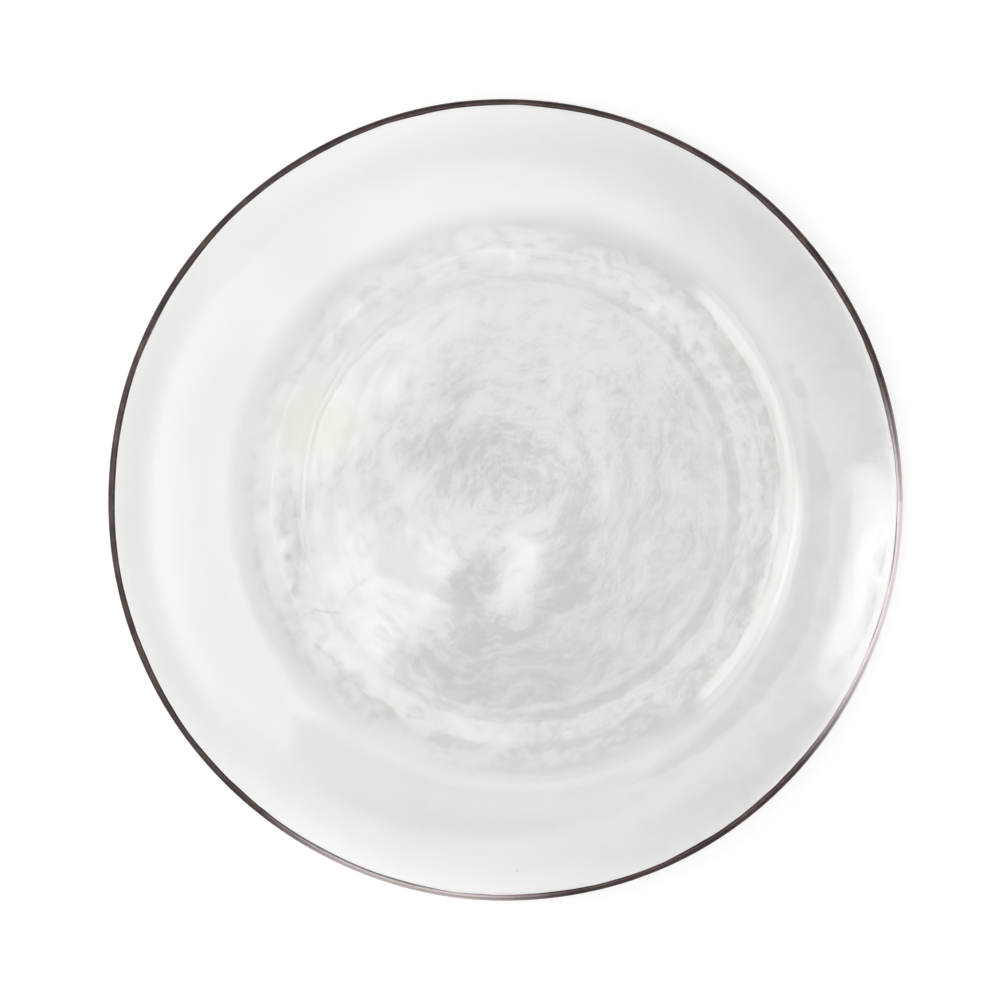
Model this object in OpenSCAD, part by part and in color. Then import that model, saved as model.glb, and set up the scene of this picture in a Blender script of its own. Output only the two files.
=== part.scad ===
// Clear glass charger plate: one pressed glass body with a swirled well,
// and a metal lustre band that wraps the rim.
// Millimetres, +Z up. The origin is on the table, under the middle of the plate.

/* [Plate] */
// Diameter over the rim band
plate_diameter = 330; // [300:1:360]
// Height of the rim above the table
plate_height = 22; // [19:0.5:27]

/* [Glass] */
// Thickness of the middle of the well's floor
floor_thickness = 3.5; // [3:0.1:5]
// Thickness of the flange at the rim
rim_thickness = 3.6; // [3:0.1:4.6]

/* [Well] */
// Diameter where the well's wall has turned over into the flange
well_diameter = 256; // [244:1:268]
// Width of the wall, from the floor of the well to the flange
wall_run = 30; // [22:1:36]
// Depth of the edge of the floor below the inner edge of the flange
well_depth = 6.5; // [5:0.5:8]
// Sag of the middle of the floor below its edge
floor_dish = 2; // [0.5:0.1:3]

/* [Flange] */
// Rise of the flange at its inner edge, in degrees
flange_angle = 5; // [0:1:8]
// Rise of the flange at the rim, in degrees
rim_angle = 20; // [14:1:26]
// Straight land of the flange behind the rounded rim
rim_land = 3; // [2:0.5:5]

/* [Foot] */
// How far the foot ring stands out beyond the edge of the floor
foot_reach = 5; // [2:0.5:8]
// Width of the face that the foot ring stands on
foot_width = 9; // [5:0.5:11]
// Height of the middle of the base above the table
foot_height = 1; // [0.6:0.1:2]
// Rise of the base from its middle to the edge of the floor
base_dish = 1.4; // [0.8:0.1:2]
// Spread of each side of the foot ring on its way up into the glass
foot_flare = 9; // [5:0.5:9.5]

/* [Swirl] */
// Width of a swirl stroke at its middle
swirl_width = 6; // [3:0.5:9]
// Depth of a swirl stroke at its middle
swirl_depth = 0.4; // [0.1:0.05:0.6]
// Plain glass between one stroke and the next
swirl_gap = 2.1; // [1:0.1:5]
// Angle that a stroke runs through before it has faded out at both ends
swirl_sweep = 250; // [120:10:330]
// How far the ring of each stroke wanders off the centre of the plate
swirl_drift = 0.9; // [0:0.1:1.2]

/* [Rim band] */
// Thickness of the lustre
band_thickness = 0.2; // [0.1:0.05:0.4]
// How far the lustre runs onto the top of the flange
band_reach_top = 0.5; // [0.2:0.1:1.8]
// How far the lustre runs onto the underside of the flange
band_reach_under = 0.8; // [0.2:0.1:1.8]

/* [Hidden] */

$fn = 128;
// Straight steps in each free curve of the section, and in the rounded rim
curve_steps = 14;
rim_steps = 12;
// Reach of a curve's handles, as shares of its span
wall_handle_share = 0.6;
flange_handle_share = 0.35;
// Clear floor between the outermost stroke and the foot of the wall
swirl_margin = 4;
// Angle from the middle of one stroke to that of the next, so that no two lie alike
swirl_turn = 137.5;
// Overrun of every cut
cut_overrun = 1;

// Heights and radii of the stations that the section runs through
floor_radius = well_diameter / 2 - wall_run;
edge_thickness = floor_thickness + floor_dish - base_dish;
floor_height = foot_height + base_dish + edge_thickness;
floor_edge = [floor_radius, floor_height];
floor_angle = atan(2 * floor_dish / floor_radius);
shoulder = [well_diameter / 2, floor_height + well_depth];
rim_radius = rim_thickness / 2;
rim_centre = [plate_diameter / 2 - band_thickness - rim_radius,
              plate_height - band_thickness - rim_radius];
rim_top = rim_centre + rim_radius * across(rim_angle);
land_start = step_along(rim_top, rim_angle, -rim_land);

// As many strokes as the floor inside the margin has room for
swirl_pitch = swirl_width + swirl_gap;
swirl_count = floor((floor_radius - swirl_margin - swirl_drift - swirl_width / 2) / swirl_pitch);
swirl_arc_radius = (pow(swirl_width / 2, 2) + pow(swirl_depth, 2)) / (2 * swirl_depth);
// Each stroke's ring leans by this height, so that it leaves the floor where the stroke ends
swirl_lean = swirl_depth / (1 - cos(swirl_sweep / 2));

// Unit directions along a slope, and up across it
function along(angle) = [cos(angle), sin(angle)];
function across(angle) = [-sin(angle), cos(angle)];
function step_along(point, angle, distance) = point + distance * along(angle);

// A free curve from one station to the next that leaves and arrives at given slopes
function curve(from, from_angle, to, to_angle, handle) =
    [from, step_along(from, from_angle, handle), step_along(to, to_angle, -handle), to];
function curve_point(c, t) =
    pow(1 - t, 3) * c[0] + 3 * pow(1 - t, 2) * t * c[1] + 3 * (1 - t) * t * t * c[2] + pow(t, 3) * c[3];
function curve_heading(c, t) =
    pow(1 - t, 2) * (c[1] - c[0]) + 2 * (1 - t) * t * (c[2] - c[1]) + t * t * (c[3] - c[2]);
function curve_angle(c, t) = atan2(curve_heading(c, t)[1], curve_heading(c, t)[0]);

// The floor and the base under it sag evenly, in one straight step for each stroke
function floor_level(radius) = floor_height - floor_dish * (1 - pow(radius / floor_radius, 2));
function base_level(radius) = foot_height + base_dish * pow(radius / floor_radius, 2);
floor_stations = [for (i = [0 : swirl_count]) (i + 1 / 2) * swirl_pitch];
base_stations = [for (i = [swirl_count : -1 : 0]) floor_stations[i]];
floor_side = concat([[0, floor_level(floor_stations[0])]],
                    [for (radius = floor_stations) [radius, floor_level(radius)]]);
base_side = concat([[floor_radius, base_level(floor_radius)]],
                   [for (radius = base_stations) [radius, base_level(radius)]],
                   [[0, base_level(floor_stations[0])]]);

// The wall rises from the floor and rolls over into the flange, which lifts towards the rim
wall_curve = curve(floor_edge, floor_angle, shoulder, flange_angle,
                   wall_handle_share * (shoulder[0] - floor_edge[0]));
flange_curve = curve(shoulder, flange_angle, land_start, rim_angle,
                     flange_handle_share * (land_start[0] - shoulder[0]));

// The glass thins evenly from the edge of the floor to the rim
function glass_thickness(radius) =
    let (share = (radius - floor_radius) / (land_start[0] - floor_radius))
    edge_thickness + (rim_thickness - edge_thickness) * share;
function under(c, t) =
    let (point = curve_point(c, t))
    point - glass_thickness(point[0]) * across(curve_angle(c, t));

// Top of the section outwards from the floor, and its underside inwards from the rim
function top_side(c) = [for (i = [0 : curve_steps]) curve_point(c, i / curve_steps)];
function under_side(c) = [for (i = [curve_steps : -1 : 0]) under(c, i / curve_steps)];

// Round edge of the rim, from the top of the flange over to its underside
function rim_arc(radius) =
    [for (i = [0 : rim_steps]) rim_centre - radius * across(rim_angle + 180 * (1 - i / rim_steps))];

module plate_section() {
    polygon(concat(
        floor_side,
        top_side(wall_curve),
        top_side(flange_curve),
        rim_arc(rim_radius),
        under_side(flange_curve),
        under_side(wall_curve),
        base_side));
}

// The foot ring runs up into the glass above it, at the foot of the wall
module foot_section() {
    outer = floor_radius + foot_reach;
    inner = outer - foot_width;
    top = foot_height + base_dish + edge_thickness / 2;
    polygon([[outer + foot_flare, top], [outer, 0], [inner, 0], [inner - foot_flare, top]]);
}

// One swirl stroke: a shallow round-bottomed channel around a leaning ring
module swirl_stroke(index) {
    heading = index * swirl_turn;
    wander = swirl_drift * across(heading);
    ring_radius = index * swirl_pitch;
    translate([wander[0], wander[1], floor_level(ring_radius) - swirl_depth + swirl_lean])
        rotate([0, asin(swirl_lean / ring_radius), heading])
            rotate_extrude()
                intersection() {
                    translate([ring_radius, swirl_arc_radius])
                        circle(r = swirl_arc_radius);
                    translate([ring_radius - swirl_width, 0])
                        square([2 * swirl_width, swirl_depth + cut_overrun]);
                }
}

module glass_plate() {
    color([0.90, 0.91, 0.89, 0.45])
        difference() {
            rotate_extrude() {
                plate_section();
                foot_section();
            }
            for (index = [1 : swirl_count]) swirl_stroke(index);
        }
}

// The lustre follows the rounded rim and laps onto both faces of the flange
module rim_band() {
    inner = rim_arc(rim_radius);
    outer = rim_arc(rim_radius + band_thickness);
    color([0.42, 0.34, 0.33])
        rotate_extrude()
            polygon(concat(
                [step_along(inner[0], rim_angle, -band_reach_top)],
                inner,
                [step_along(inner[rim_steps], rim_angle, -band_reach_under),
                 step_along(outer[rim_steps], rim_angle, -band_reach_under)],
                [for (i = [rim_steps : -1 : 0]) outer[i]],
                [step_along(outer[0], rim_angle, -band_reach_top)]));
}

glass_plate();
rim_band();
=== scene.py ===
import math
from collections import namedtuple

import bpy
import numpy as np
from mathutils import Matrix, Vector


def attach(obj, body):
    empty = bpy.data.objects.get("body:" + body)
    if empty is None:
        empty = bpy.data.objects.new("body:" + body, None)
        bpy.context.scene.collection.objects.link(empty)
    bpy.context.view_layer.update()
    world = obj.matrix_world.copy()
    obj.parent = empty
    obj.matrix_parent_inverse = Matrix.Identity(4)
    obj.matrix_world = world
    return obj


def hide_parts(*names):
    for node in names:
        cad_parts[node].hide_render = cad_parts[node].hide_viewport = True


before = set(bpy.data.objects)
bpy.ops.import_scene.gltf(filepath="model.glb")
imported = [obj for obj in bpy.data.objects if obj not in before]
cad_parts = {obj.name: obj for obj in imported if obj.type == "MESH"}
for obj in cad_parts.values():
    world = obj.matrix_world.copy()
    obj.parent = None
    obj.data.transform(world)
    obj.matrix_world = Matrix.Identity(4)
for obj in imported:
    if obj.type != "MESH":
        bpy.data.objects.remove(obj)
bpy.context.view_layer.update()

# Sizes of the plate in millimetres, the same as those of its solids
PLATE_RADIUS = 165.0
PLATE_HEIGHT = 22.0
FLOOR_THICKNESS = 3.5
RIM_THICKNESS = 3.6
WELL_RADIUS = 128.0
WALL_RUN = 30.0
WELL_DEPTH = 6.5
FLOOR_DISH = 2.0
BASE_DISH = 1.4
FLANGE_ANGLE = 5.0
RIM_ANGLE = 20.0
RIM_LAND = 3.0
FOOT_REACH = 5.0
FOOT_WIDTH = 9.0
FOOT_HEIGHT = 1.0
FOOT_FLARE = 9.0
BAND_THICKNESS = 0.2
WALL_HANDLE_SHARE = 0.6
FLANGE_HANDLE_SHARE = 0.35

FLOOR_RADIUS = WELL_RADIUS - WALL_RUN
EDGE_THICKNESS = FLOOR_THICKNESS + FLOOR_DISH - BASE_DISH
FLOOR_EDGE = FOOT_HEIGHT + BASE_DISH + EDGE_THICKNESS
FOOT_OUTER = FLOOR_RADIUS + FOOT_REACH
FOOT_INNER = FOOT_OUTER - FOOT_WIDTH
FOOT_SLOPE = (FOOT_HEIGHT + BASE_DISH + EDGE_THICKNESS / 2) / FOOT_FLARE
RIM_ROUND = RIM_THICKNESS / 2
RIM_ARC = math.pi * RIM_ROUND
RIM_CENTRE = np.array([PLATE_RADIUS - BAND_THICKNESS - RIM_ROUND,
                       PLATE_HEIGHT - BAND_THICKNESS - RIM_ROUND])

# A millimetre in the units of the scene
MM = 0.001

# Fineness of the meshes: vertices in a turn, and rings of vertices along each stretch of the section
TURNS = 360
BAND_TURNS = 3 * TURNS
FLOOR_RINGS = 75
WALL_RINGS = 34
FLANGE_RINGS = 26
RIM_RINGS = 14
BASE_RINGS = 48
BAND_RINGS = 15
# Gaps between the rings under the wall and at the foot ring, and the radii that the finer ones run between
WALL_GAP = 1.2
FOOT_GAP = 0.6
FOOT_FINE = (FLOOR_RADIUS + 13, FLOOR_RADIUS - 4)
# How softly the foot ring runs into the base
FOOT_BLEND = 1.0


# Directions in the section, soft steps and noise

def along(angle):
    return np.array([math.cos(math.radians(angle)), math.sin(math.radians(angle))])


def across(angle):
    return np.array([-math.sin(math.radians(angle)), math.cos(math.radians(angle))])


def soft_step(low, high, value):
    t = np.clip((value - low) / (high - low), 0.0, 1.0)
    return t * t * (3 - 2 * t)


def soft_bump(low, high, edge, value):
    return soft_step(low - edge, low + edge, value) * (1 - soft_step(high - edge, high + edge, value))


def soft_min(a, b, blend):
    share = np.clip(0.5 + 0.5 * (b - a) / blend, 0, 1)
    return b + (a - b) * share - blend * share * (1 - share)


class Noise:
    """Smooth seeded noise in three dimensions, about -1 to 1."""

    CELLS = 256
    GAIN = 1.6

    def __init__(self, seed):
        rng = np.random.default_rng(seed)
        self.order = rng.permutation(self.CELLS)
        ways = rng.normal(size=(self.CELLS, 3))
        self.ways = ways / np.linalg.norm(ways, axis=1, keepdims=True)

    def __call__(self, x, y, z):
        points = np.stack(np.broadcast_arrays(x, y, z), axis=-1).astype(float)
        cell = np.floor(points).astype(int)
        local = points - cell
        fade = local ** 3 * (local * (local * 6 - 15) + 10)
        total = np.zeros(points.shape[:-1])
        for corner in np.ndindex(2, 2, 2):
            index = self.order[(cell[..., 0] + corner[0]) % self.CELLS]
            index = self.order[(index + cell[..., 1] + corner[1]) % self.CELLS]
            index = self.order[(index + cell[..., 2] + corner[2]) % self.CELLS]
            weight = np.prod(np.where(corner, fade, 1 - fade), axis=-1)
            total += weight * np.sum(self.ways[index] * (local - corner), axis=-1)
        return self.GAIN * total


broad_noise = Noise(11)
streak_noise = Noise(23)
dimple_noise = Noise(41)
rim_noise = Noise(59)


def flat_waves(noise, x, y, waves):
    """Noise over the plate. Each wave has a height, a size and a layer of the noise."""
    total = 0.0
    for height, size, layer in waves:
        total = total + height * noise(x / size, y / size, layer)
    return total


def round_waves(angle, waves):
    """Noise that joins up around the rim. Each wave has a height, its features in a turn and a layer."""
    total = 0.0
    for height, features, layer in waves:
        reach = features / (2 * math.pi)
        total = total + height * rim_noise(reach * np.cos(angle), reach * np.sin(angle), layer)
    return total


# Section of the plate, from the middle of the floor over the rim to the middle of the base

def curve(start, start_angle, end, end_angle, handle, steps):
    """Points of a free curve that leaves and arrives at given slopes, and which way its upper side faces."""
    first = start + handle * along(start_angle)
    second = end - handle * along(end_angle)
    t = np.linspace(0, 1, steps + 1)[:, None]
    points = ((1 - t) ** 3 * start + 3 * (1 - t) ** 2 * t * first
              + 3 * (1 - t) * t ** 2 * second + t ** 3 * end)
    heading = (1 - t) ** 2 * (first - start) + 2 * (1 - t) * t * (second - first) + t ** 2 * (end - second)
    normal = np.column_stack([-heading[:, 1], heading[:, 0]])
    return points, normal / np.linalg.norm(normal, axis=1, keepdims=True)


def floor_level(radius):
    return FLOOR_EDGE - FLOOR_DISH * (1 - (radius / FLOOR_RADIUS) ** 2)


def underside(radius, wall_under):
    """Height of the glass above the table from the middle of the base out to the shoulder."""
    base = np.where(radius < wall_under[0, 0], FOOT_HEIGHT + BASE_DISH * (radius / FLOOR_RADIUS) ** 2,
                    np.interp(radius, wall_under[:, 0], wall_under[:, 1]))
    foot = FOOT_SLOPE * np.maximum(0, np.maximum(radius - FOOT_OUTER, FOOT_INNER - radius))
    return soft_min(base, foot, FOOT_BLEND)


def glass_section():
    floor_edge = np.array([FLOOR_RADIUS, FLOOR_EDGE])
    floor_angle = math.degrees(math.atan(2 * FLOOR_DISH / FLOOR_RADIUS))
    shoulder = np.array([WELL_RADIUS, FLOOR_EDGE + WELL_DEPTH])
    rim_top = RIM_CENTRE + RIM_ROUND * across(RIM_ANGLE)
    land_start = rim_top - RIM_LAND * along(RIM_ANGLE)
    wall = curve(floor_edge, floor_angle, shoulder, FLANGE_ANGLE, WALL_HANDLE_SHARE * WALL_RUN, WALL_RINGS)
    flange_handle = FLANGE_HANDLE_SHARE * (land_start[0] - shoulder[0])
    flange = curve(shoulder, FLANGE_ANGLE, land_start, RIM_ANGLE, flange_handle, FLANGE_RINGS)

    def under(points, normals):
        share = (points[:, 0] - FLOOR_RADIUS) / (land_start[0] - FLOOR_RADIUS)
        thickness = EDGE_THICKNESS + (RIM_THICKNESS - EDGE_THICKNESS) * share
        return points - thickness[:, None] * normals

    floor = np.linspace(0, FLOOR_RADIUS, FLOOR_RINGS, endpoint=False)
    rim_angles = np.linspace(RIM_ANGLE + 180, RIM_ANGLE, RIM_RINGS)
    rim = [RIM_CENTRE - RIM_ROUND * across(angle) for angle in rim_angles]
    flange_under = under(*flange)[::-1]
    fine_from, fine_to = FOOT_FINE
    base = np.concatenate([np.arange(flange_under[-1, 0] - WALL_GAP, fine_from, -WALL_GAP),
                           np.arange(fine_from, fine_to, -FOOT_GAP),
                           np.linspace(fine_to, 0, BASE_RINGS)])
    return np.vstack([
        np.column_stack([floor, floor_level(floor)]), wall[0], flange[0][1:], rim, flange_under,
        np.column_stack([base, underside(base, under(*wall))])])


# Hand-worked relief of the glass, in millimetres

# Hollows and swells that were pressed into the soft floor: place, size and height
PRESSED = [(-36, -70, 28, -1.2), (-51, 31, 28, -0.8), (-58, -61, 14, -0.6), (-81, -11, 28, 0.55),
           (9, -30, 10, -0.45), (-28, -33, 7, -0.2), (-73, 21, 14, -0.4), (-18, 43, 7, 0.15),
           (-5, -34, 7, 0.3)]
# Waves of the floor and of the flange: height, size and layer
FLOOR_SWELLS = [(0.025, 12, 4.4), (0.014, 6, 6.1)]
FLANGE_SWELLS = [(0.3, 70, 3.1)]
HAMMERED_DENTS = [(0.06, 8, 5.5), (0.03, 4.5, 1.7)]
HAMMERED_SWELLS = [(0.15, 20, 8.2)]
# Waves of the rim and of the foot ring: height, features in a turn and layer
RIM_OUT = [(0.35, 7, 0.0), (0.15, 19, 3.3)]
RIM_UP = [(0.30, 5, 7.7)]
FOOT_WANDER = [(0.9, 60, 31.3), (0.5, 150, 35.9)]
# Radii that each kind of work runs between, and how softly it ends
HAMMERED_ZONE = (122, 160, 6)
RING_ZONE = (FLOOR_RADIUS - 3, FLOOR_RADIUS + 10, 5)
FOOT_ZONE = (FLOOR_RADIUS - 12, FLOOR_RADIUS + 12, 4)
# How far to the right the hammered part begins and is whole, the size of a dent in the rough ring, and
# the radius where the sway of the rim begins
HAMMERED_SIDE = (10, 110)
RING_DENT = 5
SWAY_FROM = 118
# The well was turned a little off the middle of the plate
WELL_SHIFT = np.array([3.0, 1.2])
SHIFT_FADE = (112, 150)
# The part of the floor that was left calm, and how much of the streaks it has lost
CALM_MIDDLE = (-38, -26)
CALM_FADE = (45, 80)
CALM_SHARE = 0.6
# Streaks of the swirl: how far they bend, their width and length, and the share of the short ones
STREAK_BEND = 6.0
BEND_SIZE = 30
BEND_LAYER = 7.3
LONG_WIDTH = 9
LONG_LENGTH = 22
SHORT_WIDTH = 4.5
SHORT_LENGTH = 13
SHORT_SHARE = 0.35
# What differs between the two faces of the glass: where the work of the floor fades out, the zone of the
# flange, and the height and layer of the streaks and of the rough ring
Face = namedtuple("Face", "floor_fade flange_zone streak_height streak_layer ring_height ring_layer")
TOP = Face((88, 102), (118, 158, 6), 0.03, 0.0, 0.15, 0.5)
UNDER = Face((86, 95), (112, 156, 4), 0.02, 9.0, -0.12, 2.5)


def pressed(x, y):
    """Height of the hollows and swells of the floor."""
    total = flat_waves(broad_noise, x, y, FLOOR_SWELLS)
    for place_x, place_y, size, height in PRESSED:
        total += height * np.exp(-((x - place_x) ** 2 + (y - place_y) ** 2) / (2 * size ** 2))
    return total


def calm(x, y):
    """How smooth the floor was left: 1 in the puddled part near the front left, 0 in the streaked rest."""
    return 1 - soft_step(*CALM_FADE, np.hypot(x - CALM_MIDDLE[0], y - CALM_MIDDLE[1]))


def swirl(x, y, layer):
    """Streaks that run around the middle of the well and break up as they go."""
    bent = np.hypot(x, y) + STREAK_BEND * broad_noise(x / BEND_SIZE, y / BEND_SIZE, layer + BEND_LAYER)
    long = streak_noise(bent / LONG_WIDTH, x / LONG_LENGTH, y / LONG_LENGTH + layer)
    short = streak_noise(bent / SHORT_WIDTH, x / SHORT_LENGTH, y / SHORT_LENGTH + layer)
    return (1 - CALM_SHARE * calm(x, y)) * (long + SHORT_SHARE * short)


def rough_ring(x, y, layer):
    """Small dents all round the foot of the wall."""
    return soft_bump(*RING_ZONE, np.hypot(x, y)) * dimple_noise(x / RING_DENT, y / RING_DENT, layer)


def hammered(x, y):
    """Dents and soft swells on the right of the flange."""
    right = soft_bump(*HAMMERED_ZONE, np.hypot(x, y)) * soft_step(*HAMMERED_SIDE, x)
    dents = flat_waves(dimple_noise, x, y, HAMMERED_DENTS)
    return right * (dents + flat_waves(broad_noise, x, y, HAMMERED_SWELLS))


def relief(face, x, y):
    """Height of the hand work on one face of the glass."""
    radius = np.hypot(x, y)
    floor = 1 - soft_step(*face.floor_fade, radius)
    worked = pressed(x, y) + face.streak_height * swirl(x, y, face.streak_layer)
    flange = soft_bump(*face.flange_zone, radius) * flat_waves(broad_noise, x, y, FLANGE_SWELLS)
    return floor * worked + face.ring_height * rough_ring(x, y, face.ring_layer) + flange + hammered(x, y)


def sway(radius, angle):
    """How far the free edge of the plate strays from a true circle and a true height."""
    share = soft_step(SWAY_FROM, PLATE_RADIUS, radius)
    return share * round_waves(angle, RIM_OUT), share * round_waves(angle, RIM_UP)


def foot_wander(radius, angle):
    """How far the hand-finished foot ring strays inwards and outwards."""
    return soft_bump(*FOOT_ZONE, radius) * round_waves(angle, FOOT_WANDER)


# Meshes

def make_piece(name, vertices, faces, material):
    mesh = bpy.data.meshes.new(name)
    mesh.from_pydata((vertices * MM).tolist(), [], faces)
    mesh.polygons.foreach_set("use_smooth", np.ones(len(mesh.polygons), dtype=bool))
    mesh.materials.append(material)
    mesh.update()
    piece = bpy.data.objects.new(name, mesh)
    bpy.context.collection.objects.link(piece)
    return piece


def ring_faces(low, high, count):
    """Quads between two rings of vertices, by the index of each ring's first vertex."""
    return [(low + i, high + i, high + (i + 1) % count, low + (i + 1) % count) for i in range(count)]


def glass_ring(reach, height, way, angle, on_top):
    """One ring of the glass with its hand work. The way is the one that its surface faces in the section."""
    x = reach * np.cos(angle)
    y = reach * np.sin(angle)
    lift = relief(TOP, x, y) if on_top else -relief(UNDER, x, y)
    out, up = sway(reach, angle)
    if not on_top:
        out = out + foot_wander(reach, angle)
    radius = reach + out + way[0] * lift
    shift = WELL_SHIFT * (1 - soft_step(*SHIFT_FADE, reach))
    return np.column_stack([radius * np.cos(angle) + shift[0], radius * np.sin(angle) + shift[1],
                            height + up + way[1] * lift])


def glass_body(material):
    section = glass_section()
    tangent = np.gradient(section, axis=0)
    normal = np.column_stack([-tangent[:, 1], tangent[:, 0]])
    normal /= np.linalg.norm(normal, axis=1, keepdims=True)
    rim_index = int(np.argmax(section[:, 0]))
    angle = np.linspace(0, 2 * math.pi, TURNS, endpoint=False)
    rings = []
    for i, ((reach, height), way) in enumerate(zip(section, normal)):
        turns = angle if reach > 0 else angle[:1]
        rings.append(glass_ring(reach, height, way, turns, i <= rim_index))
    last = len(rings) - 1
    starts = np.cumsum([0] + [len(ring) for ring in rings]).tolist()
    faces = [(0, starts[1] + i, starts[1] + (i + 1) % TURNS) for i in range(TURNS)]
    for ring in range(1, last - 1):
        faces += ring_faces(starts[ring], starts[ring + 1], TURNS)
    faces += [(starts[last - 1] + i, starts[last], starts[last - 1] + (i + 1) % TURNS) for i in range(TURNS)]
    return make_piece("hand_worked_glass", np.vstack(rings), faces, material)


# The brushed edges of the lustre: height, features in a turn and layer of their waves
BRUSHED_TOP = [(0.9, 23, 11.1), (0.45, 70, 17.2), (0.22, 190, 21.9)]
BRUSHED_UNDER = [(0.3, 40, 27.5)]
# Lap of the lustre onto the flange, how far the brush strays there, and how far rubbing takes it back
LAP_TOP = 0.1
LAP_UNDER = 0.8
BRUSH_STRAY = 0.6
WORN_BACK = 0.7
# The film is thin at its edges and is sunk a little into the glass
FILM_EDGE = 0.03
FILM_TAPER = 0.8
FILM_SUNK = 0.04
# Stretches of the rim that are rubbed thin and painted pale as a painted highlight, in degrees with how
# softly they end, and how much the front one is
RUBBED_HIGHLIT_FRONT = (240, 272, 9)
RUBBED_HIGHLIT_RIGHT = [(330, 380, 14), (-30, 6, 14)]
RUBBED_HIGHLIT_FRONT_SHARE = 0.55


def rim_path(distance):
    """Points on the glass along the section over the rim, and which way its surface faces there."""
    on_arc = np.clip(distance, 0, RIM_ARC)
    facing = np.radians(RIM_ANGLE + 90) - on_arc / RIM_ROUND
    way = np.stack([np.cos(facing), np.sin(facing)], axis=-1)
    forward = np.stack([way[..., 1], -way[..., 0]], axis=-1)
    points = RIM_CENTRE + RIM_ROUND * way + (distance - on_arc)[..., None] * forward
    return points, way


def rubbed_and_highlit(angle):
    """Where the lustre is rubbed thin and painted pale as a highlight around the rim, from 0 to 1."""
    degrees = np.degrees(angle) % 360
    total = RUBBED_HIGHLIT_FRONT_SHARE * soft_bump(*RUBBED_HIGHLIT_FRONT, degrees)
    for stretch in RUBBED_HIGHLIT_RIGHT:
        total = np.maximum(total, soft_bump(*stretch, degrees))
    return total


def lustre_band(material):
    angle = np.linspace(0, 2 * math.pi, BAND_TURNS, endpoint=False)
    worn_and_highlit = rubbed_and_highlit(angle)
    start = -LAP_TOP - BRUSH_STRAY * round_waves(angle, BRUSHED_TOP) + WORN_BACK * worn_and_highlit
    end = RIM_ARC + LAP_UNDER + round_waves(angle, BRUSHED_UNDER)
    distance = start[:, None] + (end - start)[:, None] * np.linspace(0, 1, BAND_RINGS)
    points, way = rim_path(distance)
    edge = np.minimum(distance - start[:, None], end[:, None] - distance)
    film = FILM_EDGE + (BAND_THICKNESS - FILM_EDGE) * soft_step(0, FILM_TAPER, edge)
    outer = points + film[..., None] * way
    inner = points - FILM_SUNK * way
    loop = np.concatenate([outer, inner[:, ::-1]], axis=1)
    out, up = sway(loop[..., 0], angle[:, None])
    radius = loop[..., 0] + out
    vertices = np.stack([radius * np.cos(angle)[:, None], radius * np.sin(angle)[:, None],
                         loop[..., 1] + up], axis=-1)
    around, count = loop.shape[:2]
    faces = []
    for i in range(around):
        here = i * count
        after = (i + 1) % around * count
        faces += [(here + j, here + (j + 1) % count, after + (j + 1) % count, after + j)
                  for j in range(count)]
    piece = make_piece("brushed_lustre", vertices.reshape(-1, 3), faces, material)
    # Mask of the rubbed stretches, which also carry a painted highlight
    wear_and_highlight = piece.data.attributes.new("wear_and_highlight", "FLOAT", "POINT")
    wear_and_highlight.data.foreach_set("value", np.repeat(worn_and_highlit, count))
    return piece


# Materials

# The shader noise runs from 0 to 1 around this
NOISE_MIDDLE = 0.5


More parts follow.
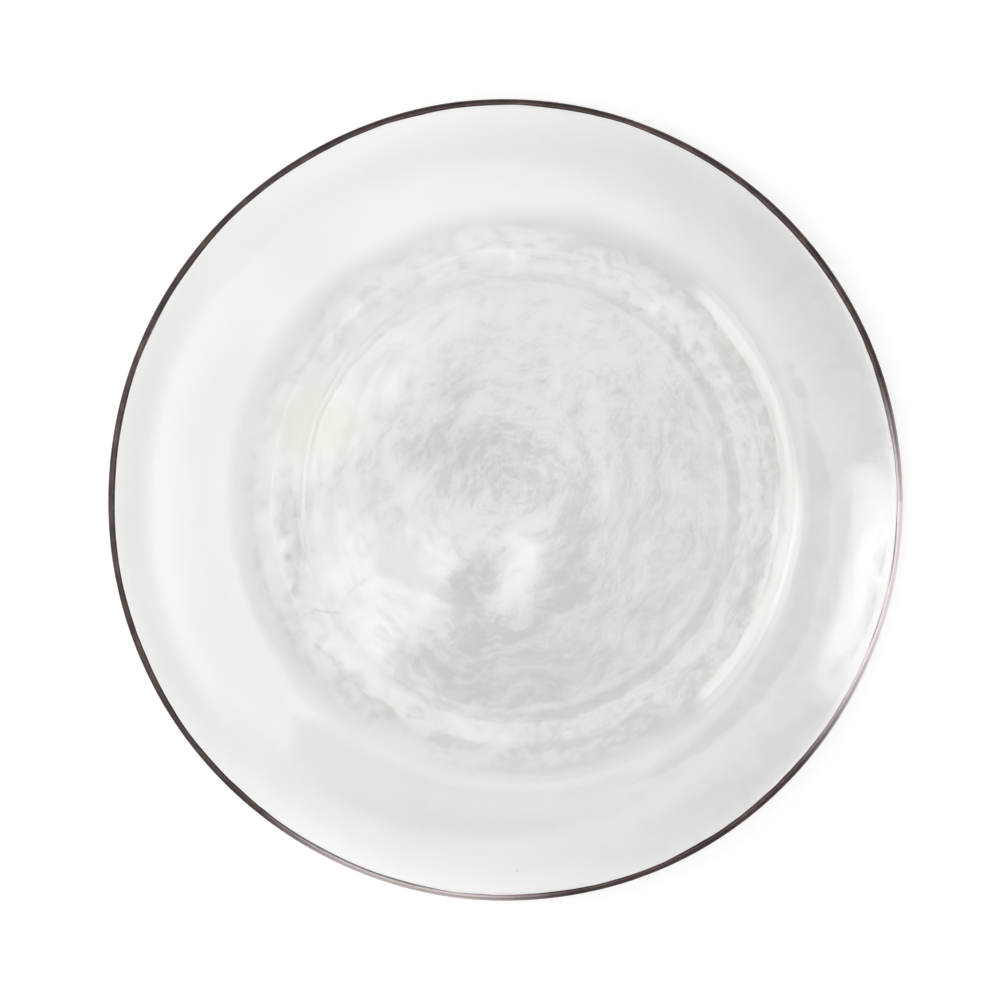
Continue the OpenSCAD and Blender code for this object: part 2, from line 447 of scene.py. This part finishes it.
class Graph:
    """Short calls for the nodes of one material or world."""

    def __init__(self, owner):
        owner.use_nodes = True
        self.nodes = owner.node_tree.nodes
        self.links = owner.node_tree.links

    def put(self, value, socket):
        if hasattr(value, "is_output"):
            self.links.new(value, socket)
        else:
            socket.default_value = value

    def math(self, operation, first, second=0.0, third=0.0):
        node = self.nodes.new("ShaderNodeMath")
        node.operation = operation
        for value, socket in zip((first, second, third), node.inputs):
            self.put(value, socket)
        return node.outputs[0]

    def vector(self, operation, first, second=(0, 0, 0), output="Vector"):
        node = self.nodes.new("ShaderNodeVectorMath")
        node.operation = operation
        self.put(first, node.inputs[0])
        self.put(second, node.inputs[1])
        return node.outputs[output]

    def distance(self, first, second):
        return self.vector("DISTANCE", first, second, output="Value")

    def dot(self, first, second):
        return self.vector("DOT_PRODUCT", first, second, output="Value")

    def length(self, vector):
        return self.vector("LENGTH", vector, output="Value")

    def flat(self, vector):
        return self.vector("MULTIPLY", vector, (1, 1, 0))

    def split(self, vector):
        node = self.nodes.new("ShaderNodeSeparateXYZ")
        self.links.new(vector, node.inputs[0])
        return node.outputs["X"], node.outputs["Y"], node.outputs["Z"]

    def join(self, x, y, z):
        node = self.nodes.new("ShaderNodeCombineXYZ")
        for value, socket in zip((x, y, z), node.inputs):
            self.put(value, socket)
        return node.outputs[0]

    def step(self, low, high, value, start=0.0, end=1.0, kind="SMOOTHSTEP"):
        node = self.nodes.new("ShaderNodeMapRange")
        node.interpolation_type = kind
        for name, number in (("From Min", low), ("From Max", high), ("To Min", start), ("To Max", end)):
            node.inputs[name].default_value = number
        self.links.new(value, node.inputs["Value"])
        return node.outputs["Result"]

    def band(self, low, high, soft, value):
        rise = self.step(low - soft, low + soft, value)
        fall = self.step(high - soft, high + soft, value, 1.0, 0.0)
        return self.math("MULTIPLY", rise, fall)

    def coordinates(self, name):
        return self.nodes.new("ShaderNodeTexCoord").outputs[name]

    def place(self):
        """Where a point of the surface is, in millimetres."""
        return self.vector("MULTIPLY", self.coordinates("Object"), (1 / MM, 1 / MM, 1 / MM))

    def noise(self, vector, size, detail, roughness=0.5):
        node = self.nodes.new("ShaderNodeTexNoise")
        node.inputs["Scale"].default_value = 1 / size
        node.inputs["Detail"].default_value = detail
        node.inputs["Roughness"].default_value = roughness
        self.links.new(vector, node.inputs["Vector"])
        return node.outputs["Fac"]

    def even_noise(self, vector, size, detail, roughness):
        """Noise that goes as far below 0 as above it."""
        return self.math("SUBTRACT", self.noise(vector, size, detail, roughness), NOISE_MIDDLE)

    def ramp(self, value, stops):
        node = self.nodes.new("ShaderNodeValToRGB")
        elements = node.color_ramp.elements
        elements.remove(elements[0])
        elements[0].position = stops[0][0]
        elements[0].color = (*stops[0][1], 1)
        for position, colour in stops[1:]:
            elements.new(position).color = (*colour, 1)
        self.links.new(value, node.inputs["Fac"])
        return node.outputs["Color"]

    def levels(self, value, low, high, peak, stops):
        """A number read off a line of levels between low and high, where no level is over the peak."""
        spread = [((at - low) / (high - low), (level / peak,) * 3) for at, level in stops]
        share = self.step(low, high, value, kind="LINEAR")
        return self.math("MULTIPLY", self.ramp(share, spread), peak)

    def mix(self, share, first, second):
        node = self.nodes.new("ShaderNodeMix")
        node.data_type = "RGBA"
        self.put(share, node.inputs["Factor"])
        for name, value in (("A", first), ("B", second)):
            socket = [s for s in node.inputs if s.name == name and s.type == "RGBA"][0]
            self.put(value, socket)
        return [s for s in node.outputs if s.type == "RGBA"][0]

    def bump(self, height, depth, strength=1.0):
        node = self.nodes.new("ShaderNodeBump")
        node.inputs["Strength"].default_value = strength
        node.inputs["Distance"].default_value = depth
        self.links.new(height, node.inputs["Height"])
        return node.outputs["Normal"]


# Glass. Its places and sizes are in millimetres. A noise is its size, its detail and its roughness

GLASS_IOR = 1.56
# Pools painted into the tint of the marbled floor: the lighter ones are painted reflections of the window,
# the darker ones darken the tint. Each is a path, its width and how much it lifts the tint
PAINTED_POOLS = [
    ([(-77, 6), (-65, -69)], 16, 0.06),
    ([(-74, -42), (-29, -52)], 15, 0.08),
    ([(-68, -60), (-43, -85)], 8, 0.10),
    ([(-31, -13), (-31, -13)], 13, 0.15),
    ([(4, -25), (4, -25)], 16, 0.05),
    ([(-77, 46), (-85, 16)], 15, 0.08),
    ([(-22, -69), (38, -77)], 24, -0.08),
    ([(-40, 31), (-27, 21), (18, 15)], 19, -0.08),
    ([(25, -1), (25, -37)], 10, -0.10),
    ([(-49, -7), (-47, -25)], 8, -0.28),
    ([(-45, -26), (-26, -40)], 4, -0.36),
    ([(-20, -35), (-17, -57)], 8, -0.22),
    ([(-95, 30), (-96, -20)], 10, 0.15),
]
# Tint of the marbling from clouded to clear, in even steps with crisp edges
SHADE_START = 0.34
SHADE_STEP = 0.055
SHADE_EDGE = 0.018
SHADES = [(0.843, 0.843, 0.823), (0.859, 0.859, 0.841), (0.874, 0.874, 0.858), (0.889, 0.889, 0.876),
          (0.904, 0.904, 0.894), (0.918, 0.918, 0.911), (0.932, 0.932, 0.928), (0.946, 0.946, 0.944)]
# Thin dark folds that closed in the soft floor, each a path and its width, and seeds in the flange
FOLDS = [([(-87, -46), (-71, -46), (-58, -30)], 1.3), ([(-79, -62), (-49, -89)], 2.2)]
SEEDS = [(-145, 19), (6, -153), (-99, 107)]
SEED_WIDTH = 1.0
FOLD_TINT = (0.810, 0.810, 0.785, 1)
# Where the edge of each begins and ends, as shares of its width
POOL_EDGE = (0.4, 1.1)
FOLD_EDGE = (0.2, 0.7)
SEED_EDGE = (0.3, 1.0)
# How what is drawn on the floor strays from its place, and how far
STRAY_NOISE = (12, 3)
FOLD_STRAY = 12
POOL_STRAY = 14
WARM_REFLECTION_STRAY = 16
# A straw-coloured painted reflection at the left of the floor
WARM_REFLECTION_PLACE = (-82, 32, 0)
WARM_REFLECTION_FADE = (10, 22)
WARM_REFLECTION_SHARE = 0.7
WARM_REFLECTION_TINT = (0.92, 0.918, 0.86, 1)
# Grain of the swirl: how it wanders in and out, the width and length of its streaks, and how it shifts
# from one face of the glass to the other
WANDER_NOISE = (40, 2)
WANDER_REACH = 40
RAGGED_NOISE = (8, 1)
RAGGED_REACH = 5
GRAIN_WIDTH = 7
GRAIN_LENGTH = 17
FACE_SHIFT = 0.7
TINT_GRAIN = (1, 6, 0.72)
RELIEF_GRAIN = (1, 3, 0.55)
# The rough ring, and how strongly its grain and its lumps show
TINT_RING = (96, 113, 4)
RING_CONTRAST = 2.2
LUMP_NOISE = (6.5, 3, 0.55)
LUMP_SHARE = 0.9
# Middle of the part of the floor that was left calm, where the marbling is the strongest
PUDDLE_PLACE = (-35, -25, 0)
PUDDLE_FADE = (50, 90)
PUDDLE_CONTRAST = 2.3
# The plain glass of the flange: faint cords all round, clouds towards the front right, and where it meets
# the tint of the floor
CORD_NOISE = (45, 3, 0.55)
CLOUD_NOISE = (16, 6, 0.75)
CLOUD_SHARE = 2.6
FRONT_WAY = (0.85, -0.5, 0)
FRONT_FADE = (-30, 130)
CORD_TINTS = [(0.0, (0.868, 0.868, 0.866)), (1.0, (0.940, 0.940, 0.938))]
FLOOR_TINT_FADE = (110, 118)
# Painted shade: the tint of the glass is darker behind the left of the rim
RIM_SHADE_FADE = (146, 163)
RIM_SHADE_SIDE = (0, 60)
RIM_SHADE_TINT = (0.868, 0.868, 0.866, 1)
# Painted light: the tint of the wall is lighter at the back left
WALL_ZONE = (107, 118, 4)
WALL_PAINTED_LIFT = 0.055
BACK_WAY = (-0.7, 0.7, 0)
BACK_FADE = (0, 90)
BACK_LEAST = 0.1
# Fine relief: where the streaks and ragged waves of the floor end, and where pits show
STREAK_FADE = (88, 100)
STREAK_LEAST = 0.15
SMOOTH_FADE = (45, 80)
SMOOTH_LEAST = 0.3
WAVE_NOISE = (6, 3, 0.6)
PIT_NOISE = (4.2, 3, 0.65)
PIT_START = (118, 130)
PIT_SIDE = (0, 120)
PIT_RING_SHARE = 1.4
PIT_FLANGE_SHARE = 0.6
RELIEF_DEPTH = 0.05


def near_line(graph, flat, start, end, width, edge):
    """1 near a line between two places and 0 far from it."""
    from_start = graph.vector("SUBTRACT", flat, (*start, 0))
    reach = np.subtract(end, start)
    length = max(float(reach @ reach), 1.0)
    share = graph.dot(from_start, (*(reach / length), 0))
    share = graph.math("MINIMUM", graph.math("MAXIMUM", share, 0.0), 1.0)
    along_x = graph.math("MULTIPLY", share, float(reach[0]))
    along_y = graph.math("MULTIPLY", share, float(reach[1]))
    distance = graph.distance(from_start, graph.join(along_x, along_y, 0.0))
    return graph.step(edge[0] * width, edge[1] * width, distance, 1.0, 0.0)


def near_path(graph, flat, path, width, edge):
    total = 0.0
    for start, end in zip(path, path[1:]):
        total = graph.math("MAXIMUM", total, near_line(graph, flat, start, end, width, edge))
    return total


def strayed(graph, place, reach):
    """Places on the floor that stray from where they are, so that what is drawn there looks hand-made."""
    tone = graph.noise(place, *STRAY_NOISE).node.outputs["Color"]
    stray = graph.vector("SUBTRACT", tone, (NOISE_MIDDLE, NOISE_MIDDLE, NOISE_MIDDLE))
    return graph.vector("ADD", graph.flat(place), graph.vector("MULTIPLY", stray, (reach, reach, 0)))


def folded(graph, place):
    """How much of a fold or a seed lies at a place, from 0 to 1."""
    flat = strayed(graph, place, FOLD_STRAY)
    total = 0.0
    for path, width in FOLDS:
        total = graph.math("MAXIMUM", total, near_path(graph, flat, path, width, FOLD_EDGE))
    still = graph.flat(place)
    for seed in SEEDS:
        total = graph.math("MAXIMUM", total, near_line(graph, still, seed, seed, SEED_WIDTH, SEED_EDGE))
    return total


def swirl_place(graph, place, radius):
    """Places stretched along the swirl, so that noise there runs in broken streaks around the well."""
    x, y, z = graph.split(place)
    drift = graph.math("MULTIPLY_ADD", graph.noise(place, *WANDER_NOISE), WANDER_REACH, radius)
    drift = graph.math("MULTIPLY_ADD", graph.noise(place, *RAGGED_NOISE), RAGGED_REACH, drift)
    layer = graph.math("MULTIPLY_ADD", z, FACE_SHIFT, graph.math("DIVIDE", drift, GRAIN_WIDTH))
    return graph.join(graph.math("DIVIDE", x, GRAIN_LENGTH), graph.math("DIVIDE", y, GRAIN_LENGTH), layer)


def marbled(graph, place, radius, ring):
    """Tint of the floor and of the rough ring around it, with pools painted in: the lighter ones are painted
    reflections.
    """
    level = graph.flat(place)
    grain = graph.even_noise(swirl_place(graph, level, radius), *TINT_GRAIN)
    puddled = graph.step(*PUDDLE_FADE, graph.distance(level, PUDDLE_PLACE), PUDDLE_CONTRAST, 1.0)
    contrast = graph.math("MAXIMUM", puddled, graph.math("MULTIPLY", ring, RING_CONTRAST))
    shade = graph.math("MULTIPLY_ADD", grain, contrast, NOISE_MIDDLE)
    lumps = graph.even_noise(level, *LUMP_NOISE)
    shade = graph.math("MULTIPLY_ADD", lumps, graph.math("MULTIPLY", ring, LUMP_SHARE), shade)
    # Painted pools: the lighter ones are painted reflections of the window, the darker ones darken the tint
    flat = strayed(graph, level, POOL_STRAY)
    for path, width, tint_lift in PAINTED_POOLS:
        shade = graph.math("MULTIPLY_ADD", near_path(graph, flat, path, width, POOL_EDGE), tint_lift, shade)
    stops = [(0.0, SHADES[0])]
    for i, (before, after) in enumerate(zip(SHADES, SHADES[1:])):
        edge = SHADE_START + i * SHADE_STEP
        stops += [(edge, before), (edge + SHADE_EDGE, after)]
    return graph.ramp(shade, stops)


def flange_tint(graph, place):
    """Tint of the plain glass outside the well."""
    front = graph.step(*FRONT_FADE, graph.dot(place, FRONT_WAY), 0.0, CLOUD_SHARE)
    clouds = graph.even_noise(place, *CLOUD_NOISE)
    cords = graph.math("MULTIPLY_ADD", clouds, front, graph.noise(place, *CORD_NOISE))
    # Painted shade: darker tint behind the left of the rim
    behind_rim = graph.step(*RIM_SHADE_FADE, graph.length(graph.flat(place)))
    left = graph.step(*RIM_SHADE_SIDE, graph.split(place)[0], 1.0, 0.0)
    shaded = graph.math("MULTIPLY", behind_rim, left)
    return graph.mix(shaded, graph.ramp(cords, CORD_TINTS), RIM_SHADE_TINT)


def glass_tint(graph, place, radius, ring):
    on_floor = graph.step(*FLOOR_TINT_FADE, radius, 1.0, 0.0)
    tint = graph.mix(on_floor, flange_tint(graph, place), marbled(graph, place, radius, ring))
    # Painted light: the wall's tint is lighter at the back left
    back = graph.step(*BACK_FADE, graph.dot(place, BACK_WAY), BACK_LEAST, 1.0)
    wall = graph.math("MULTIPLY", graph.band(*WALL_ZONE, radius), back)
    tint_lift = graph.math("MULTIPLY_ADD", wall, WALL_PAINTED_LIFT, 1.0)
    tint = graph.vector("MULTIPLY", tint, graph.join(tint_lift, tint_lift, tint_lift))
    # Painted reflection: a straw-coloured patch at the left of the floor
    from_warm_reflection = graph.distance(strayed(graph, place, WARM_REFLECTION_STRAY), WARM_REFLECTION_PLACE)
    tint = graph.mix(graph.step(*WARM_REFLECTION_FADE, from_warm_reflection, WARM_REFLECTION_SHARE, 0.0), tint, WARM_REFLECTION_TINT)
    return graph.mix(folded(graph, place), tint, FOLD_TINT)


def glass_height(graph, place, radius, ring):
    """Height of the fine relief: streaks and waves on the floor, pits in the ring and on the flange."""
    on_floor = graph.step(*STREAK_FADE, radius, 1.0, STREAK_LEAST)
    from_puddle = graph.distance(graph.flat(place), PUDDLE_PLACE)
    worked = graph.math("MULTIPLY", on_floor, graph.step(*SMOOTH_FADE, from_puddle, SMOOTH_LEAST, 1.0))
    streaks = graph.noise(swirl_place(graph, place, radius), *RELIEF_GRAIN)
    height = graph.math("MULTIPLY", streaks, worked)
    height = graph.math("MULTIPLY_ADD", graph.noise(place, *WAVE_NOISE), on_floor, height)
    right = graph.step(*PIT_SIDE, graph.split(place)[0])
    flange = graph.math("MULTIPLY", graph.step(*PIT_START, radius), right)
    pitted = graph.math("MULTIPLY", flange, PIT_FLANGE_SHARE)
    pitted = graph.math("MULTIPLY_ADD", ring, PIT_RING_SHARE, pitted)
    return graph.math("MULTIPLY_ADD", graph.noise(place, *PIT_NOISE), pitted, height)


def glass_material():
    material = bpy.data.materials.new("clear_worked_glass")
    graph = Graph(material)
    shader = graph.nodes["Principled BSDF"]
    shader.inputs["Roughness"].default_value = 0.0
    shader.inputs["IOR"].default_value = GLASS_IOR
    shader.inputs["Transmission Weight"].default_value = 1.0
    place = graph.place()
    radius = graph.distance(graph.flat(place), (*WELL_SHIFT, 0))
    ring = graph.band(*TINT_RING, radius)
    graph.links.new(glass_tint(graph, place, radius, ring), shader.inputs["Base Color"])
    height = glass_height(graph, place, radius, ring)
    graph.links.new(graph.bump(height, RELIEF_DEPTH * MM), shader.inputs["Normal"])
    return material


# Lustre, dark where it is whole, and pale where it is rubbed thin and where a highlight is painted

STROKE_NOISE = (12, 5, 0.6)
STROKE_COLOURS = [(0.30, (0.05, 0.038, 0.036)), (0.55, (0.085, 0.062, 0.06)), (0.75, (0.15, 0.10, 0.09))]
WORN_HIGHLIGHT_COLOUR = (0.87, 0.77, 0.77, 1)
WORN_HIGHLIGHT_METAL = 0.8
SPECK_NOISE = (1.6, 3, 0.6)
SPECK_SPREAD = (0.3, 0.7)
SPECK_DEPTH = 0.04
SPECK_STRENGTH = 0.6
LUSTRE_ROUGHNESS = (0.3, 0.55)


def lustre_material():
    material = bpy.data.materials.new("dark_copper_lustre")
    graph = Graph(material)
    shader = graph.nodes["Principled BSDF"]
    place = graph.place()
    dark = graph.ramp(graph.noise(place, *STROKE_NOISE), STROKE_COLOURS)
    wear_and_highlight = graph.nodes.new("ShaderNodeAttribute")
    wear_and_highlight.attribute_name = "wear_and_highlight"
    worn_and_highlit = wear_and_highlight.outputs["Fac"]
    # Painted highlight: pale pink and less metallic where the lustre is rubbed
    graph.links.new(graph.mix(worn_and_highlit, dark, WORN_HIGHLIGHT_COLOUR), shader.inputs["Base Color"])
    graph.links.new(graph.math("MULTIPLY_ADD", worn_and_highlit, -WORN_HIGHLIGHT_METAL, 1.0), shader.inputs["Metallic"])
    specks = graph.noise(place, *SPECK_NOISE)
    graph.links.new(graph.step(*SPECK_SPREAD, specks, *LUSTRE_ROUGHNESS), shader.inputs["Roughness"])
    graph.links.new(graph.bump(specks, SPECK_DEPTH * MM, SPECK_STRENGTH), shader.inputs["Normal"])
    return material


# Studio, in metres

FLOOR_REACH = 40
FLOOR_DROP = 0.0003
FLOOR_CORNERS = 96
FLOOR_COLOUR = (0.85, 0.85, 0.85, 1)
FLOOR_GLOW = 0.30
# The window at the left, and the lamp in it
WINDOW_PLACE = Vector((-1.30, 0.22, 1.77))
LAMP_SIZE = (0.60, 0.62)
LAMP_RADIANCE = 0.25


def floor_material():
    """A pale matt floor that also glows a little where it is seen, mirrored or seen through the glass."""
    material = bpy.data.materials.new("pale_floor")
    graph = Graph(material)
    shader = graph.nodes["Principled BSDF"]
    shader.inputs["Base Color"].default_value = FLOOR_COLOUR
    shader.inputs["Roughness"].default_value = 1.0
    shader.inputs["Specular IOR Level"].default_value = 0.0
    path = graph.nodes.new("ShaderNodeLightPath")
    seen = graph.math("MAXIMUM", path.outputs["Is Camera Ray"], path.outputs["Is Glossy Ray"])
    seen = graph.math("MAXIMUM", seen, path.outputs["Is Transmission Ray"])
    shader.inputs["Emission Color"].default_value = (1, 1, 1, 1)
    graph.links.new(graph.math("MULTIPLY", seen, FLOOR_GLOW), shader.inputs["Emission Strength"])
    return material


def floor_plane():
    bpy.ops.mesh.primitive_circle_add(vertices=FLOOR_CORNERS, radius=FLOOR_REACH, fill_type="NGON",
                                      location=(0, 0, -FLOOR_DROP))
    floor = bpy.context.object
    floor.name = "studio_floor"
    floor.data.materials.append(floor_material())


def window_lamp():
    """A rectangular lamp that faces the plate. Its radiance is what a mirror would show of it."""
    data = bpy.data.lights.new("left_window", "AREA")
    data.shape = "RECTANGLE"
    data.size, data.size_y = LAMP_SIZE
    data.energy = math.pi * data.size * data.size_y * LAMP_RADIANCE
    lamp = bpy.data.objects.new("left_window", data)
    bpy.context.collection.objects.link(lamp)
    lamp.location = WINDOW_PLACE
    lamp.rotation_euler = (-WINDOW_PLACE).to_track_quat("-Z", "Y").to_euler()


# Light of the room by direction. A slope is how far a direction leans away from straight up.
# The ceiling is read along one side of the room: bright overhead, in levels around that, and
# in other levels far out. Each fade is a pair of slopes
LEAST_RISE = 0.05
CEILING_TURN = math.radians(-35)
CEILING_WAY = (math.cos(CEILING_TURN), math.sin(CEILING_TURN), 0)
CEILING_PEAK = 2.6
CEILING_ENDS = (-1.0, 1.0)
CRISP = 0.004
OVER_EDGE = -0.085
OVER_LEVEL = 2.5
DIM_LEVELS = [(-0.36, 0.85), (-0.16, 1.3), (-0.085, 1.6)]
NEAR_LEVELS = [(-0.84, 0.35), (-0.36, 0.85), (-0.16, 1.33), (-0.087, 1.82), (0.0, 2.1), (0.09, 2.6),
               (0.47, 2.3), (0.84, 0.7)]
NEAR_FADE = (0.22, 0.30)
FAR_LEVELS = [(-0.84, 0.5), (-0.47, 0.9), (-0.21, 1.8), (-0.09, 2.1), (0.15, 2.0), (0.45, 1.1), (1.0, 0.7)]
FAR_FADE = (0.32, 0.50)
# A dark gap in the ceiling, between two slopes, with how far it reaches around them
DARK_FROM = -0.25
DARK_TO = -0.355
DARK_SIDE = 0.05
DARK_REACH = 0.115
DARK_LEVEL = 0.2
# Grey walls, a bright line at the horizon by its rise, and a warm strip on the left wall
WALL_GREY = 0.25
WALL_FADE = (0.75, 1.1)
HORIZON_TOP = 0.3
HORIZON_LEVELS = [(0.0, 1.0), (0.12, 0.9), (HORIZON_TOP, 0.0)]
STRIP_RISE = (0.45, 0.69, 0.015)
STRIP_SWING = (0.65, 0.75)
STRIP_LEVEL = 2.5
STRIP_COLOUR = (1.0, 0.985, 0.91, 1)
# Soft light of the window: its two sides with how softly they end, and where it begins and fades upwards
WINDOW_AIM = WINDOW_PLACE.normalized()
WINDOW_ACROSS = Vector((0, 0, 1)).cross(WINDOW_AIM).normalized()
WINDOW_UP = WINDOW_AIM.cross(WINDOW_ACROSS)
WINDOW_WIDE = (-0.15, 0.15, 0.09)
WINDOW_FOOT = (-0.16, -0.13)
WINDOW_HEAD = (-0.07, 0.13)
WINDOW_GLOW = 3.6


def grey(level):
    return level, level, level, 1


def window_glow(graph, way):
    """Soft light of the left window, which fades out towards the ceiling."""
    ahead = graph.math("MAXIMUM", graph.dot(way, WINDOW_AIM), LEAST_RISE)
    sideways = graph.math("DIVIDE", graph.dot(way, WINDOW_ACROSS), ahead)
    upwards = graph.math("DIVIDE", graph.dot(way, WINDOW_UP), ahead)
    foot = graph.step(*WINDOW_FOOT, upwards)
    head = graph.step(*WINDOW_HEAD, upwards, 1.0, 0.0)
    high = graph.math("MULTIPLY", foot, head)
    glow = graph.math("MULTIPLY", graph.band(*WINDOW_WIDE, sideways), high)
    return graph.math("MULTIPLY", glow, WINDOW_GLOW)


def ceiling_light(graph, slope, away):
    """Light of the ceiling, with its dark gap and the grey walls around it."""
    p = graph.split(slope)[0]
    side = graph.dot(slope, CEILING_WAY)
    dim = graph.levels(side, *CEILING_ENDS, CEILING_PEAK, DIM_LEVELS)
    over = graph.mix(graph.step(OVER_EDGE - CRISP, OVER_EDGE + CRISP, side), dim, grey(OVER_LEVEL))
    near = graph.levels(side, *CEILING_ENDS, CEILING_PEAK, NEAR_LEVELS)
    near = graph.mix(graph.step(*NEAR_FADE, away), over, near)
    far = graph.levels(p, *CEILING_ENDS, CEILING_PEAK, FAR_LEVELS)
    sky = graph.mix(graph.step(*FAR_FADE, away), near, far)
    along_gap = graph.math("MINIMUM", graph.math("MAXIMUM", p, DARK_TO), DARK_FROM)
    from_gap = graph.distance(slope, graph.join(along_gap, DARK_SIDE, 0.0))
    gap = graph.step(DARK_REACH - CRISP, DARK_REACH + CRISP, from_gap, DARK_LEVEL, 1.0)
    return graph.mix(graph.step(*WALL_FADE, away), graph.math("MULTIPLY", sky, gap), grey(WALL_GREY))


def studio_world():
    world = bpy.data.worlds.new("studio")
    bpy.context.scene.world = world
    graph = Graph(world)
    way = graph.coordinates("Generated")
    x, y, z = graph.split(way)
    rise = graph.math("MAXIMUM", z, LEAST_RISE)
    slope = graph.join(graph.math("DIVIDE", x, rise), graph.math("DIVIDE", y, rise), 0.0)
    ceiling = ceiling_light(graph, slope, graph.length(slope))
    horizon = graph.levels(z, 0.0, HORIZON_TOP, 1.0, HORIZON_LEVELS)
    swing = graph.math("ABSOLUTE", graph.math("ARCTAN2", y, graph.math("MULTIPLY", x, -1.0)))
    strip = graph.math("MULTIPLY", graph.band(*STRIP_RISE, z), graph.step(*STRIP_SWING, swing, 1.0, 0.0))
    light = graph.math("MAXIMUM", ceiling, horizon)
    light = graph.math("MAXIMUM", light, graph.math("MULTIPLY", strip, STRIP_LEVEL))
    light = graph.math("MAXIMUM", light, window_glow(graph, way))
    background = graph.nodes["Background"]
    graph.links.new(light, background.inputs["Strength"])
    graph.links.new(graph.mix(strip, (1, 1, 1, 1), STRIP_COLOUR), background.inputs["Color"])


CAMERA_AIM = Vector((-0.0011, 0.0, 0.018))
CAMERA_DISTANCE = 2.5
CAMERA_TILT = math.radians(7.7)
CAMERA_LENS = 218.5
CAMERA_SENSOR = 36


def camera():
    data = bpy.data.cameras.new("camera")
    data.lens = CAMERA_LENS
    data.sensor_width = CAMERA_SENSOR
    view = bpy.data.objects.new("camera", data)
    bpy.context.collection.objects.link(view)
    back = Vector((math.sin(CAMERA_TILT), 0, math.cos(CAMERA_TILT)))
    view.location = CAMERA_AIM + CAMERA_DISTANCE * back
    view.rotation_euler = (0, CAMERA_TILT, 0)
    bpy.context.scene.camera = view


glass = glass_body(glass_material())
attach(glass, "root")
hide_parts("glass_plate")

lustre = lustre_band(lustre_material())
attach(lustre, "root")
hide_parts("rim_band")

floor_plane()
window_lamp()
studio_world()
camera()
bpy.context.scene.view_settings.view_transform = "Standard"
